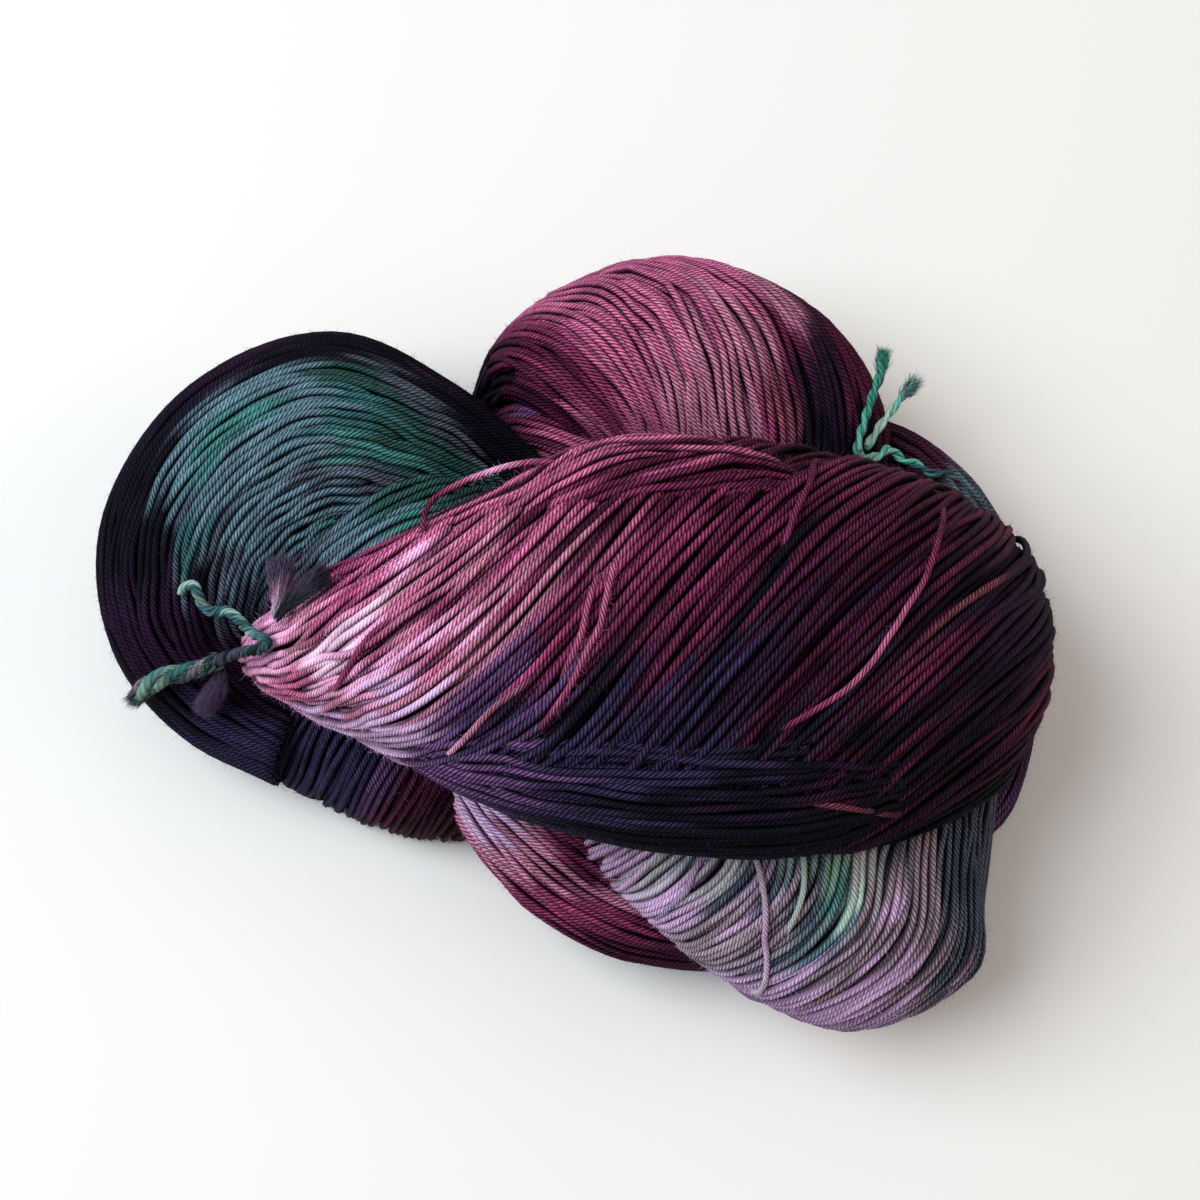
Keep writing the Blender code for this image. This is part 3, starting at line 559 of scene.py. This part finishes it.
def strand_mesh(name, rings, sides):
    """A piece of closed tubes round the rings, with the map that the plies follow."""
    turn = 2 * np.pi * np.arange(sides) / sides
    other = np.cross(rings.along, rings.out)
    tall = rings.tall[:, None] * np.cos(turn)
    wide = rings.wide[:, None] * np.sin(turn)
    points = moved(rings.middle[:, None], tall, rings.out[:, None], wide, other[:, None])
    last = np.append(rings.first[1:], True)
    body = np.flatnonzero(~last)[:, None]
    j = np.arange(sides)
    k = (j + 1) % sides
    low = body * sides
    high = low + sides
    walls = np.stack([low + j, low + k, high + k, high + j], axis=-1).reshape(-1)
    feet = np.flatnonzero(rings.first)[:, None] * sides + j[::-1]
    tips = np.flatnonzero(last)[:, None] * sides + j
    caps = np.concatenate([feet, tips]).reshape(-1)
    starts = np.concatenate([np.arange(0, len(walls), 4), len(walls) + np.arange(0, len(caps), sides)])
    corners = np.concatenate([walls, caps])
    piece = new_piece(name, points.reshape(-1, 3), corners, starts, np.repeat(rings.dye, sides, axis=0))
    a, b, v, w = np.broadcast_arrays(j / sides, (j + 1) / sides, rings.run[body], rings.run[body + 1])
    wall_map = np.stack([a, v, b, v, b, w, a, w], axis=-1).reshape(-1)
    cap_map = np.stack([0 * caps, rings.run[caps // sides]], axis=-1).reshape(-1)
    layer = piece.data.uv_layers.new(name="ply")
    layer.data.foreach_set("uv", np.concatenate([wall_map, cap_map]).astype(np.float32))
    return piece


def fibres(name, foot, toward, lengths, curl, half, dye, rng, segments=3):
    """A piece of fine three-sided fibres, each tapered to a closed point."""
    count = len(foot)
    toward = unit(toward)
    bend = across(rng.normal(size=(count, 3)), toward)
    at = np.linspace(0, 1, segments + 1)
    line = foot[:, None] + (lengths[:, None] * at)[..., None] * toward[:, None]
    line = line + (lengths[:, None] * curl[:, None] * at**2)[..., None] * bend[:, None]
    line[..., 2] = np.maximum(line[..., 2], 0.1)
    along = unit(np.gradient(line, axis=1))
    side = across(np.broadcast_to(bend[:, None], along.shape) + 1e-3, along)
    other = np.cross(along, side)
    turn = 2 * np.pi * np.arange(3) / 3
    thin = (half * (1 - 0.75 * at[:-1]))[:, None]
    low, side, other = (rows[:, :-1, None] for rows in (line, side, other))
    points = moved(low, thin * np.cos(turn), side, thin * np.sin(turn), other)
    points = np.concatenate([points.reshape(count, -1, 3), line[:, -1:]], axis=1)
    tip = 3 * segments
    faces = []
    for r in range(0, tip, 3):
        for j, k in ((0, 1), (1, 2), (2, 0)):
            if r + 3 < tip:
                faces += [r + j, r + k, r + 3 + k, r + j, r + 3 + k, r + 3 + j]
            else:
                faces += [r + j, r + k, tip]
    faces += [2, 1, 0]
    corners = ((tip + 1) * np.arange(count)[:, None] + np.array(faces)).reshape(-1)
    starts = np.arange(0, len(corners), 3)
    return new_piece(name, points.reshape(-1, 3), corners, starts, np.repeat(dye, tip + 1, axis=0))


def node(tree, kind, inputs=None, **settings):
    """A shader node with its settings and inputs, which are values or other nodes' outputs."""
    made = tree.nodes.new("ShaderNode" + kind)
    for key, value in settings.items():
        setattr(made, key, value)
    for key, value in (inputs or {}).items():
        if isinstance(value, bpy.types.NodeSocket):
            tree.links.new(value, made.inputs[key])
        else:
            made.inputs[key].default_value = value
    return made


def output(tree, name, *kind_and_inputs, **settings):
    """One output of a new shader node."""
    return node(tree, *kind_and_inputs, **settings).outputs[name]


def maths(tree, operation, *values):
    """The result of a Math node."""
    return output(tree, 0, "Math", dict(enumerate(values)), operation=operation)


def times(tree, a, b):
    """Two values multiplied."""
    return maths(tree, "MULTIPLY", a, b)


def scaled(tree, value, low, high, new_low, new_high):
    """A value moved from one range to another."""
    inputs = {"Value": value, "From Min": low, "From Max": high, "To Min": new_low, "To Max": new_high}
    return output(tree, "Result", "MapRange", inputs)


def noise(tree, at, scale, detail):
    """Noise round 0.5 at a place."""
    return output(tree, "Fac", "TexNoise", {"Vector": at, "Scale": scale, "Detail": detail})


def blended(tree, kind, colour, red, green, blue):
    """A colour blended with another one that is made from three values."""
    other = output(tree, "Color", "CombineColor", {"Red": red, "Green": green, "Blue": blue})
    inputs = {"Factor": 1.0, 6: colour, 7: other}
    return output(tree, 2, "Mix", inputs, data_type="RGBA", blend_type=kind, clamp_result=False)


def uneven_colour(tree, shader, value, low, high):
    """The base colour goes from low to high with the value."""
    ramp = node(tree, "ValToRGB", {"Fac": value})
    ramp.color_ramp.elements[0].color = (*low, 1.0)
    ramp.color_ramp.elements[1].color = (*high, 1.0)
    tree.links.new(ramp.outputs["Color"], shader.inputs["Base Color"])


def roughen(tree, shader, height, strength, distance):
    """The height stands out of the surface as a bump."""
    inputs = {"Height": height, "Strength": strength, "Distance": distance}
    tree.links.new(output(tree, "Normal", "Bump", inputs), shader.inputs["Normal"])


def new_material(name, roughness, specular, sheen):
    """A new material with its constants on the shader, its tree and its shader."""
    material = bpy.data.materials.new(name)
    material.use_nodes = True
    shader = material.node_tree.nodes["Principled BSDF"]
    shader.inputs["Roughness"].default_value = roughness
    shader.inputs["Specular IOR Level"].default_value = specular
    shader.inputs["Sheen Weight"].default_value = sheen
    shader.inputs["Sheen Roughness"].default_value = 0.45
    return material, material.node_tree, shader


def yarn_material(name, plies, ply_step, paint_side_shade=False, ply_shade_and_highlight=(0.2, 1.8)):
    """Plied yarn: its dye, with painted shade between the plies and a painted highlight on their crests, and
    where asked, painted shade on the sides that neighbours hide.
    """
    if name in bpy.data.materials:
        return bpy.data.materials[name]
    material, tree, shader = new_material(name, 0.7, 0.05, 0.0)
    dye = output(tree, "Color", "Attribute", attribute_name="dye")
    place = node(tree, "SeparateXYZ", {"Vector": output(tree, "UV", "UVMap", uv_map="ply")}).outputs
    girth = place["X"]
    run = place["Y"]
    phase = maths(tree, "ADD", times(tree, girth, float(plies)), maths(tree, "DIVIDE", run, ply_step))
    ply = maths(tree, "ABSOLUTE", maths(tree, "SINE", times(tree, phase, math.pi)))
    at = output(tree, "Vector", "CombineXYZ", {"X": times(tree, phase, 3.0), "Y": times(tree, run, 0.45)})
    fibre = noise(tree, at, 1.6, 3.0)
    at = output(tree, "Vector", "CombineXYZ", {"X": phase, "Y": times(tree, run, 0.3)})
    uneven = noise(tree, at, 1.1, 1.0)
    heather = noise(tree, output(tree, "Object", "TexCoord"), 190.0, 3.0)
    # Painted light on the plies: shade in the grooves between them, a highlight on their crests.
    crest = maths(tree, "POWER", ply, 1.8)
    shade = scaled(tree, crest, 0.05, 1.0, *ply_shade_and_highlight)
    for grain, low, high in ((fibre, 0.70, 1.32), (uneven, 0.65, 1.35), (heather, 0.80, 1.2)):
        shade = times(tree, shade, scaled(tree, grain, 0.3, 0.7, low, high))
    if paint_side_shade:
        # Painted shade on the sides of a strand that its neighbours hide.
        outward = maths(tree, "COSINE", times(tree, girth, 2 * math.pi))
        shade = times(tree, shade, scaled(tree, outward, 0.05, 0.9, 0.10, 1.1))
    # Pale dyes show less of the painted shade and highlight.
    pale = scaled(tree, output(tree, "Green", "SeparateColor", {"Color": dye}), 0.0, 0.5, 0.0, 0.8)
    shade = maths(tree, "ADD", shade, times(tree, pale, maths(tree, "SUBTRACT", 0.82, shade)))
    tinted = blended(tree, "MULTIPLY", dye, shade, shade, shade)
    # Painted glint: the ply crests are lifted towards a paler, pinker colour.
    red = output(tree, "Red", "SeparateColor", {"Color": tinted})
    glint = times(tree, times(tree, red, crest), 0.06)
    lit = blended(tree, "ADD", tinted, 0.0, glint, glint)
    tree.links.new(lit, shader.inputs["Base Color"])
    roughen(tree, shader, maths(tree, "ADD", times(tree, ply, 0.8), times(tree, fibre, 0.25)), 0.9, 0.0002)
    return material


def cord_material():
    """The ties' plied yarn."""
    # The ties get fainter painted shade and highlight on their plies.
    return yarn_material("tie_cord", 3, 1.5, ply_shade_and_highlight=(0.55, 1.25))


def fibre_material(name):
    """Single fibres: their dye, a little uneven from place to place."""
    if name in bpy.data.materials:
        return bpy.data.materials[name]
    material, tree, shader = new_material(name, 0.9, 0.05, 0.05)
    dye = output(tree, "Color", "Attribute", attribute_name="dye")
    uneven = noise(tree, output(tree, "Object", "TexCoord"), 900.0, 2.0)
    shade = scaled(tree, uneven, 0.3, 0.7, 0.75, 1.25)
    tree.links.new(blended(tree, "MULTIPLY", dye, shade, shade, shade), shader.inputs["Base Color"])
    return material


def core_material():
    """The inside that shows between the strands, coloured near-black as painted shade, with a faint grain."""
    material, tree, shader = new_material("dark_core_wool", 0.95, 0.08, 0.0)
    spot = output(tree, "Object", "TexCoord")
    patches = noise(tree, spot, 60.0, 4.0)
    grain = noise(tree, spot, 1500.0, 3.0)
    # Painted shade: the hidden inside of the hank is near-black, tinted plum in patches.
    uneven_colour(tree, shader, patches, (0.008, 0.006, 0.014), (0.030, 0.012, 0.026))
    roughen(tree, shader, grain, 0.8, 0.0003)
    return material


def floor_material():
    """A matt pale table, very slightly uneven."""
    material, tree, shader = new_material("pale_table", 0.7, 0.2, 0.0)
    uneven = noise(tree, output(tree, "Object", "TexCoord"), 3.0, 2.0)
    uneven_colour(tree, shader, uneven, (0.71, 0.715, 0.715), (0.73, 0.735, 0.735))
    return material


def dress(piece, material, slot, *nodes):
    """Gives the piece its material and body, and hides the CAD nodes that it stands for. The slot is not
    used.
    """
    piece.data.materials.append(material)
    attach(piece, "root")
    if nodes:
        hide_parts(*nodes)
    return piece


def plied_rings(points, offset, half, lay, dyes, shape=1.0):
    """The plies of a twisted cord, wound round its line, one for each row of dye names."""
    along, side = carried(points)
    other = np.cross(along, side)
    twist = -2 * np.pi * np.cumsum(np.gradient(length_along(points)) / lay)
    off = offset * shape
    parts = []
    for k, names in enumerate(dyes):
        turn = twist + 2 * np.pi * k / len(dyes)
        line = moved(points, off * np.cos(turn), side, off * np.sin(turn), other)
        parts.append(cord_rings(line, half, dye_rows(names.split()), shape=shape))
    return joined(parts)


def tuft(name, text, halves, count, dyes, seed, long=0.42):
    """A fluffy yarn end: many fine fibres that run along a line and stand off it towards its tip."""
    rng = np.random.default_rng(seed)
    points = route(numbers(text), 0.3)
    along, side = carried(points)
    run = length_along(points)
    at = rng.uniform(0, 1, count) ** 0.75 * 0.88
    where = lambda rows: between(at * run[-1], run, rows)
    radius = np.interp(at, np.linspace(0, 1, len(halves)), halves) * np.sqrt(rng.uniform(0.02, 1, count))
    turn = rng.uniform(0, 2 * np.pi, count)
    off = moved(0, np.cos(turn), where(side), np.sin(turn), where(np.cross(along, side)))
    foot = where(points) + radius[:, None] * off
    toward = where(along) + off * rng.uniform(-0.12, 0.2, count)[:, None]
    toward = toward + 0.09 * rng.normal(size=(count, 3))
    lengths = run[-1] * long * rng.uniform(0.5, 1.0, count) * (1.0 - 0.55 * at**2)
    dye = dye_rows(dyes.split())
    place = np.clip(at + rng.normal(0, 0.08, count), 0, 1) * (len(dye) - 1)
    mixed = between(place, np.arange(len(dye)), dye) * np.exp(rng.normal(0, 0.28, count))[:, None]
    return fibres(name, foot, toward, lengths, rng.uniform(0, 0.3, count), TUFT_FIBRE, mixed, rng)


def fray(name, slot, foot, toward, longest, curl, dye, rng):
    """The frayed tip of a tie, as a piece of loose fibres."""
    lengths = rng.uniform(1.2, longest, len(foot))
    piece = fibres(name, foot, toward, lengths, rng.uniform(0, curl, len(foot)), FRAY_FIBRE, dye, rng)
    return dress(piece, fibre_material("tie_fibre"), slot)


class HANK_OT_camera(bpy.types.Operator):
    """Adds the camera that looks down at the hank"""

    bl_idname = "hank.camera"
    bl_label = "Add camera"

    def execute(self, context):
        turn = (math.radians(12.0), 0.0, 0.0)
        bpy.ops.object.camera_add(location=(0.0049, -0.05687, 0.3156), rotation=turn)
        camera = context.object
        camera.name = "camera_above"
        camera.data.sensor_fit = "AUTO"
        camera.data.angle = math.radians(36.0)
        camera.data.clip_start = 0.01
        context.scene.camera = camera
        return {"FINISHED"}


class HANK_OT_left_tie(bpy.types.Operator):
    """Winds the left tie and its frayed tip"""

    bl_idname = "hank.left_tie"
    bl_label = "Wind left tie"

    def execute(self, context):
        thick = context.scene.tie_sizes.left_thickness / MM
        points = route(numbers(TIE_LEFT), 0.4)
        run = length_along(points)
        share = run / run[-1]
        shape = np.interp(share, (0, 0.04, 0.5, 0.66, 0.78, 0.95, 1), (0.8, 1, 1, 1.15, 1.75, 1.9, 1.3))
        lay = np.interp(share, (0.4, 0.5, 0.7, 0.8), (5.5, 4.5, 6.0, 17.0))
        dyes = (
            "mint teal sage teal mint teal sage teal pine ink slate ink pine sage sage green sage slate",
            "teal mint teal steel teal mint steel slate slate slate ink slate mushroom slate pine slate "
            "mushroom ink",
            "teal teal steel teal teal teal steel teal ink slate ink slate pine green pine sage pine pine",
        )
        piece = strand_mesh("left_tie", plied_rings(points, 0.24 * thick, 0.27 * thick, lay, dyes, shape), 8)
        dress(piece, cord_material(), "teal_cord", "tie_left")
        rng = np.random.default_rng(SEED + 31)
        count = 2400
        back = (46 * rng.uniform(0, 1, count) ** 1.6).astype(int) + 1
        ahead = unit(points[-back] - points[-back - 12])
        off = across(rng.normal(size=(count, 3)), ahead)
        foot = points[-back] - 1.2 * ahead + off * rng.uniform(0.2, 1.35, (count, 1))
        toward = ahead + off * rng.uniform(-0.1, 0.12, (count, 1)) + rng.normal(0, 0.09, (count, 3))
        shades = dye_rows(("pine", "slate", "mushroom", "sage", "ink"))
        dye = shades[rng.choice(5, count, p=(0.34, 0.22, 0.12, 0.2, 0.12))]
        tip = fray("left_tie_fray", "teal_cord", foot, toward, 3.0, 0.3, dye, rng)
        return {"FINISHED"}


class HANK_OT_right_tie(bpy.types.Operator):
    """Winds the right tie, its second end and their frayed tips"""

    bl_idname = "hank.right_tie"
    bl_label = "Wind right tie"

    def execute(self, context):
        thick = context.scene.tie_sizes.right_thickness / MM
        points = route(numbers(TIE_RIGHT), 0.35)
        run = length_along(points)
        shape = np.interp(run / run[-1], (0, 0.1, 0.5, 0.62, 0.9, 1), (0.8, 1.1, 1.35, 1.15, 1.3, 1.7))
        dyes = (
            "steel slate teal jade mint jade teal jade green emerald emerald",
            "slate teal jade jade jade mint jade green emerald green emerald",
        )
        piece = strand_mesh("right_tie", plied_rings(points, 0.25 * thick, 0.28 * thick, 6.5, dyes, shape), 8)
        dress(piece, cord_material(), "green_cord", "tie_right")
        second = route(numbers(TIE_RIGHT_END), 0.35)
        dyes = ("mint mint mint teal", "jade mint jade teal")
        end = strand_mesh("right_tie_end", plied_rings(second, 0.3 * thick, 0.34 * thick, 7.5, dyes), 8)
        dress(end, cord_material(), "pale_green_cord", "tie_right_end")
        rng = np.random.default_rng(SEED + 41)
        count = 500
        for name, line, shades, slot in (
            ("right_tie_fray", points, ("emerald", "emerald", "green", "teal"), "green_cord"),
            ("right_tie_end_fray", second, ("teal", "steel", "mint", "green"), "pale_green_cord"),
        ):
            ahead = unit(line[-1] - line[-8])
            foot = line[-1] + rng.normal(0, 0.32, (count, 3)) - rng.uniform(0, 3.0, (count, 1)) * ahead
            lean = rng.choice((-0.4, -0.3, 0.35, 0.45), (count, 1)) * across(np.array((1.0, 0.2, 0.0)), ahead)
            toward = ahead + lean + rng.normal(0, 0.13, (count, 3))
            dye = dye_rows(shades)[rng.integers(0, 4, count)]
            fray(name, slot, foot, toward, 2.8, 0.2, dye, rng)
        return {"FINISHED"}


class HANK_OT_yarn_ends(bpy.types.Operator):
    """Fluffs the loose yarn ends beside the left tie"""

    bl_idname = "hank.yarn_ends"
    bl_label = "Fluff yarn ends"

    def execute(self, context):
        sizes = context.scene.tie_sizes
        material = fibre_material("tuft_fibre")
        halves = np.array((0.3, 0.6, 0.72, 0.7, 0.45)) * (sizes.hanging_thickness / MM)
        dyes = "dusk dusk violet dusk dusk"
        piece = tuft("hanging_yarn_end", YARN_END_HANGING, halves, 3600, dyes, SEED + 51, long=0.5)
        dress(piece, material, "violet_tuft", "yarn_end_hanging")
        halves = np.array((0.2, 0.35, 0.6, 0.8, 0.6)) * (sizes.upright_thickness / MM)
        dyes = "silver lilac mauve dusk dusk dusk dusk"
        piece = tuft("upright_yarn_end", YARN_END_UPRIGHT, halves, 2800, dyes, SEED + 52)
        dress(piece, material, "grey_violet_tuft", "yarn_end_upright")
        dyes = "ink slate ink slate dusk ink slate"
        piece = tuft("dark_yarn_end", YARN_END_DARK, (0.4, 1.0, 1.3, 1.0), 2200, dyes, SEED + 53)
        dress(piece, material, "grey_violet_tuft")
        return {"FINISHED"}


class HANK_OT_core(bpy.types.Operator):
    """Adds the inside of the hank under the strands, coloured near-black as painted shade"""

    bl_idname = "hank.core"
    bl_label = "Add dark core"

    def execute(self, context):
        bpy.ops.object.select_all(action="DESELECT")
        core = bpy.data.objects.new("dark_core", FORM.copy())
        core.data.materials.clear()
        context.scene.collection.objects.link(core)
        context.view_layer.objects.active = core
        core.select_set(True)
        bpy.ops.object.mode_set(mode="EDIT")
        bpy.ops.mesh.select_all(action="SELECT")
        bpy.ops.mesh.remove_doubles(threshold=0.00001)
        bpy.ops.object.mode_set(mode="OBJECT")
        shrink = core.modifiers.new("shrink", "DISPLACE")
        shrink.mid_level = 0.0
        shrink.strength = -context.scene.yarn_sizes.core_depth
        bpy.ops.object.modifier_apply(modifier="shrink")
        bpy.ops.object.shade_smooth()
        dress(core, core_material(), "plum_yarn", "hank")
        return {"FINISHED"}


# The strands that are wound so far, for the fuzz.
WOUND = []


class HANK_OT_strands(bpy.types.Operator):
    """Winds the strands of every bundle of the hank"""

    bl_idname = "hank.strands"
    bl_label = "Wind strands"

    def execute(self, context):
        sizes = context.scene.yarn_sizes
        # The hank's strands get painted shade on their hidden sides.
        material = yarn_material("dyed_yarn", 5, sizes.ply_step / MM, paint_side_shade=True)
        lower = []
        for k, (name, bundle) in enumerate(BUNDLES.items()):
            WOUND.append(wind(bundle, SEED + k))
            piece = strand_mesh(name + "_strands", WOUND[-1], sizes.sides)
            dress(piece, material, "plum_yarn", "hank")
            lower.append(wind(bundle, SEED + 60 + k, under=True))
        piece = strand_mesh("under_strands", joined(lower), 5)
        dress(piece, material, "plum_yarn", "hank")
        return {"FINISHED"}


class HANK_OT_loose_strands(bpy.types.Operator):
    """Lays the loose strands over the others"""

    bl_idname = "hank.loose_strands"
    bl_label = "Lay loose strands"

    def execute(self, context):
        sizes = context.scene.yarn_sizes
        parts = []
        for k, (dyes, text) in enumerate(LOOSE_STRANDS):
            # Each strand goes down towards its ends and turns into the hank there.
            points = route(numbers(text), 3.0)
            normals = np.array([HANK.find_nearest(Vector(p * MM))[1] for p in points])
            points = points - 0.4 * normals
            ends = np.minimum(length_along(points), length_along(points[::-1])[::-1])
            points = points - (1.3 * np.clip(1 - ends / 5.0, 0, 1) ** 2)[:, None] * normals
            start = points[0] + unit(points[0] - points[1]) - 3.0 * normals[0]
            end = points[-1] + unit(points[-1] - points[-2]) - 3.0 * normals[-1]
            points = route(np.vstack([start, points, end]), 0.9)
            half = 0.36 * sizes.thickness / MM
            parts.append(cord_rings(points, half, dye_rows(dyes.split()), start=3.0 * k))
        WOUND.append(joined(parts))
        piece = strand_mesh("loose_strands", WOUND[-1], 9)
        dress(piece, yarn_material("loose_yarn", 5, sizes.ply_step / MM), "plum_yarn", "hank")
        return {"FINISHED"}


class HANK_OT_fuzz(bpy.types.Operator):
    """Adds the fine fibres that stand off the yarn"""

    bl_idname = "hank.fuzz"
    bl_label = "Add fuzz"

    def execute(self, context):
        sizes = context.scene.fuzz_sizes
        count = sizes.count
        rings = joined(WOUND)
        # More fibres stand where the yarn's side is seen against the table.
        rim = np.where(np.abs(rings.out[:, 2]) < 0.4, 7.0, 1.0) * (rings.middle[:, 2] > 2.0)
        for name, seed in (("fuzz", SEED + 90), ("more_fuzz", SEED + 91)):
            rng = np.random.default_rng(seed)
            picks = rng.choice(len(rings.middle), count, p=rim / rim.sum())
            along = rings.along[picks]
            outward = unit(rings.out[picks] + 0.5 * rng.normal(size=(count, 3)))
            foot = rings.middle[picks] + 0.4 * outward + rng.uniform(-1, 1, (count, 1)) * along
            toward = outward + 0.9 * rng.normal(size=(count, 1)) * along + 0.3 * rng.normal(size=(count, 3))
            lengths = sizes.longest / MM * rng.beta(1.4, 3.6, count) + 0.3
            dye = np.minimum(rings.dye[picks] * 1.5 + 0.02, 0.9)
            curl = rng.uniform(0, 0.7, count)
            piece = fibres(name, foot, toward, lengths, curl, 0.5 * sizes.thickness / MM, dye, rng, 2)
            dress(piece, fibre_material("fuzz_fibre"), "plum_yarn", "hank")
        return {"FINISHED"}


class HANK_OT_stage(bpy.types.Operator):
    """Adds the pale table and the soft window light"""

    bl_idname = "hank.stage"
    bl_label = "Add stage"

    def execute(self, context):
        bpy.ops.mesh.primitive_plane_add(size=6.0, location=(0.0, 0.0, 0.0))
        floor = context.object
        floor.name = "pale_table_top"
        floor.data.materials.append(floor_material())
        for name, at, size, power, colour in (
            ("window", (-0.64, 0.12, 0.84), 0.85, 12.5, (0.95, 0.985, 1.0)),
            ("ceiling", (-0.15, 0.42, 1.5), 1.9, 8.8, (1.0, 0.985, 0.965)),
            ("room_glow", (1.0, 0.05, 0.75), 0.8, 3.8, (1.0, 0.68, 0.42)),
        ):
            turn = (Vector((0.0, 0.0, 0.02)) - Vector(at)).to_track_quat("-Z", "Y").to_euler()
            bpy.ops.object.light_add(type="AREA", location=at, rotation=turn)
            lamp = context.object
            lamp.name = name
            lamp.data.shape = "DISK"
            lamp.data.size = size
            lamp.data.energy = power
            lamp.data.color = colour
        world = bpy.data.worlds.new("soft_room")
        world.use_nodes = True
        background = world.node_tree.nodes["Background"]
        background.inputs["Color"].default_value = (0.93, 0.96, 1.0, 1.0)
        background.inputs["Strength"].default_value = 0.22
        context.scene.world = world
        context.scene.view_settings.view_transform = "Standard"
        return {"FINISHED"}


OPERATORS = (
    HANK_OT_camera, HANK_OT_left_tie, HANK_OT_right_tie, HANK_OT_core, HANK_OT_strands,
    HANK_OT_loose_strands, HANK_OT_yarn_ends, HANK_OT_fuzz, HANK_OT_stage,
)
GROUPS = {"yarn_sizes": YarnSizes, "fuzz_sizes": FuzzSizes, "tie_sizes": TieSizes, "yarn_dyes": YarnDyes}


class HANK_PT_sidebar(bpy.types.Panel):
    """The hank's sizes, dyes and steps"""

    bl_label = "Hank of yarn"
    bl_idname = "HANK_PT_sidebar"
    bl_space_type = "VIEW_3D"
    bl_region_type = "UI"
    bl_category = "Hank"

    def draw(self, context):
        for name, group in GROUPS.items():
            box = self.layout.box()
            for key in group.__annotations__:
                box.prop(getattr(context.scene, name), key)
        for operator in OPERATORS:
            self.layout.operator(operator.bl_idname)


def register():
    for name, group in GROUPS.items():
        bpy.utils.register_class(group)
        setattr(bpy.types.Scene, name, bpy.props.PointerProperty(type=group))
    for operator in OPERATORS:
        bpy.utils.register_class(operator)
    bpy.utils.register_class(HANK_PT_sidebar)


def unregister():
    bpy.utils.unregister_class(HANK_PT_sidebar)
    for operator in reversed(OPERATORS):
        bpy.utils.unregister_class(operator)
    for name, group in GROUPS.items():
        delattr(bpy.types.Scene, name)
        bpy.utils.unregister_class(group)


def main():
    register()
    bpy.ops.hank.camera()
    bpy.ops.hank.left_tie()
    bpy.ops.hank.right_tie()
    bpy.ops.hank.core()
    bpy.ops.hank.strands()
    bpy.ops.hank.loose_strands()
    bpy.ops.hank.yarn_ends()
    bpy.ops.hank.fuzz()
    bpy.ops.hank.stage()
    bpy.context.view_layer.update()


if __name__ == "__main__":
    main()
